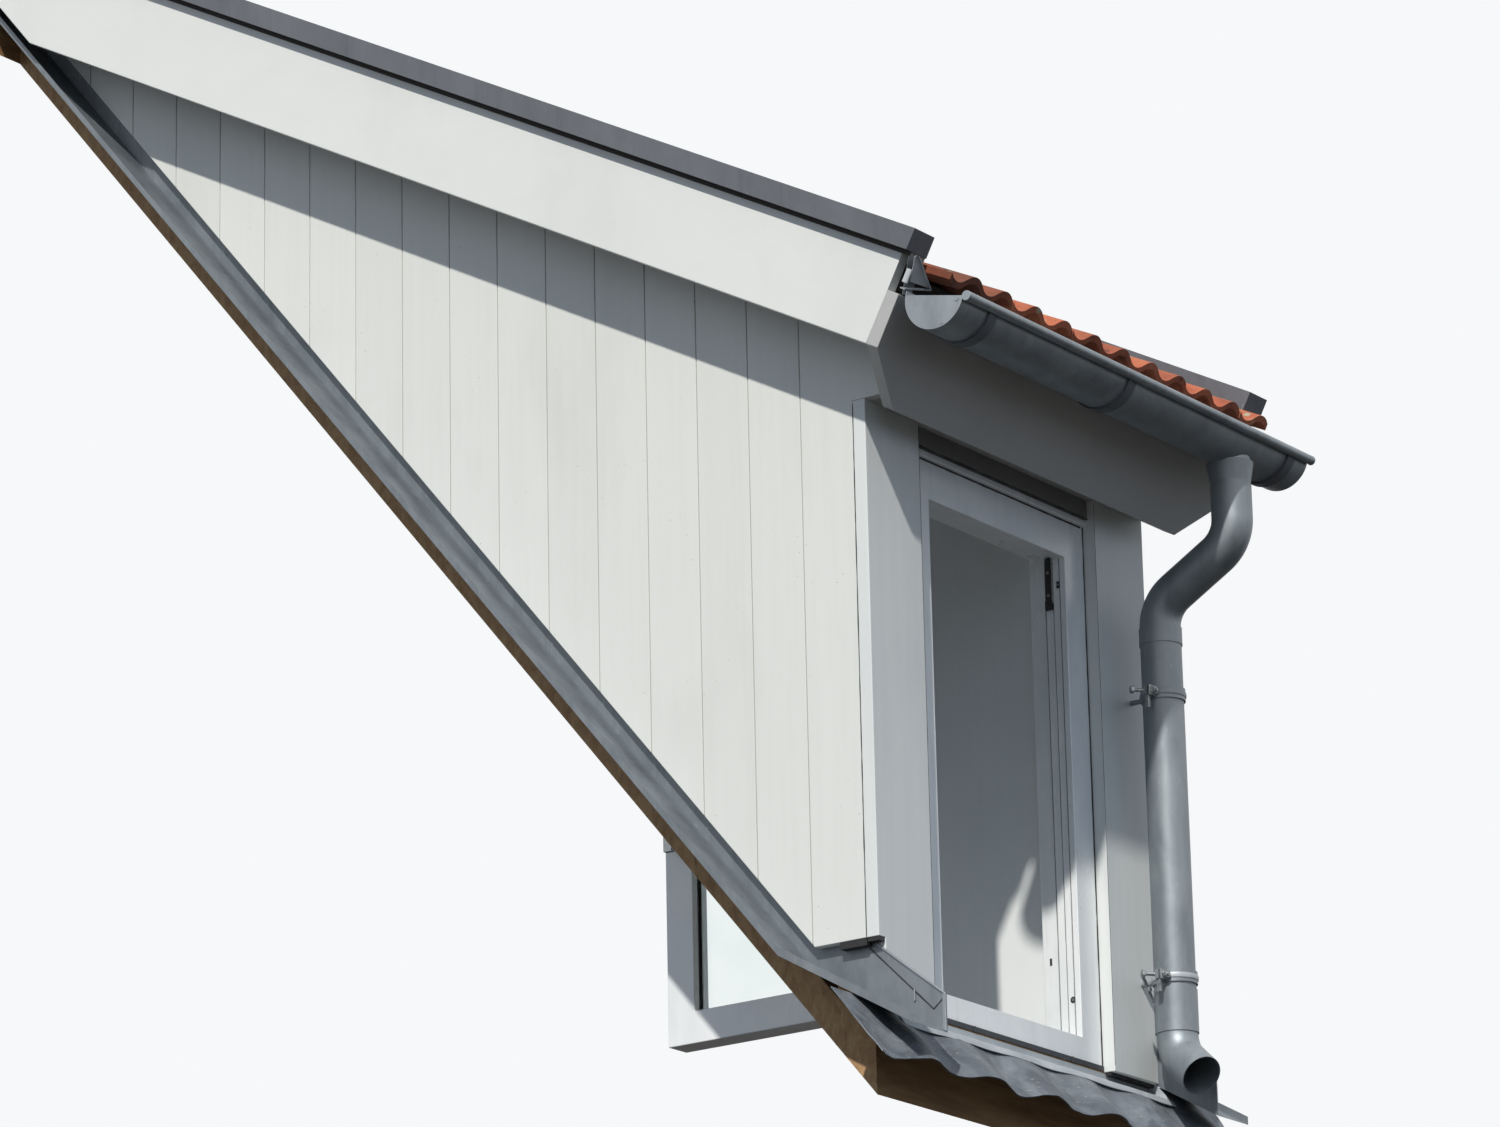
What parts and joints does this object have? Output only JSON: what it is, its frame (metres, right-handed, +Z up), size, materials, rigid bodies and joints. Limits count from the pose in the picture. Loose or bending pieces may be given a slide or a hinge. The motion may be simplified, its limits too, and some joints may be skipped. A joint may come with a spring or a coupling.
{
  "type": "dormer window",
  "caption": "Shed dormer with board-clad cheeks, tiled roof, open casement window, half-round eaves gutter and downpipe, for a steep pitched roof.",
  "frame": {"origin": "middle of the front trimmer's underside, on the plane of the main roof's rafters", "axes": "+X to the right along the front, +Y into the roof, +Z up"},
  "size_m": [1.25, 2.66, 2.9002],
  "materials": {
    "frame_timber": "planed softwood, unpainted",
    "painted_boards": "white opaque paint, satin, slightly weathered",
    "inner_lining": "white painted board",
    "window_white": "white window profile, satin",
    "clear_glass": "clear double glazing",
    "weathered_zinc": "blue-grey weathered zinc sheet, dull",
    "lead": "dressed lead sheet, dull grey",
    "clay_tiles": "red clay with dark patches, matt",
    "fittings_steel": "galvanised steel"
  },
  "bodies": {
    "root": {"bargeboard_left": "painted_boards", "bargeboard_right": "painted_boards", "ceiling_lining": "inner_lining", "cheek_studs_left": "frame_timber", "cheek_studs_right": "frame_timber", "cladding_left": "painted_boards", "cladding_right": "painted_boards", "corner_board_left": "painted_boards", "corner_board_right": "painted_boards", "corner_post_left": "frame_timber", "corner_post_right": "frame_timber", "downpipe": "weathered_zinc", "eaves_fillet": "frame_timber", "fascia_board": "painted_boards", "front_trimmer": "frame_timber", "gutter": "weathered_zinc", "gutter_brackets": "fittings_steel", "head_beam": "frame_timber", "lay_board": "frame_timber", "lead_apron": "lead", "lining_left": "inner_lining", "lining_right": "inner_lining", "lintel_board": "painted_boards", "outlet_funnel": "weathered_zinc", "pipe_clip_lower": "fittings_steel", "pipe_clip_upper": "fittings_steel", "pipe_shoe": "weathered_zinc", "rafters": "frame_timber", "roof_boarding": "frame_timber", "roof_tiles": "clay_tiles", "sash_frame": "window_white", "sash_glass": "clear_glass", "sash_hinges": "fittings_steel", "side_flashing_left": "weathered_zinc", "side_flashing_right": "weathered_zinc", "soffit_board": "painted_boards", "sole_plate_left": "frame_timber", "sole_plate_right": "frame_timber", "swan_neck": "weathered_zinc", "tile_battens": "frame_timber", "verge_batten_left": "frame_timber", "verge_batten_right": "frame_timber", "verge_trim_left": "weathered_zinc", "verge_trim_right": "weathered_zinc", "window_frame": "window_white", "window_handle": "fittings_steel"}
  },
  "joints": []
}
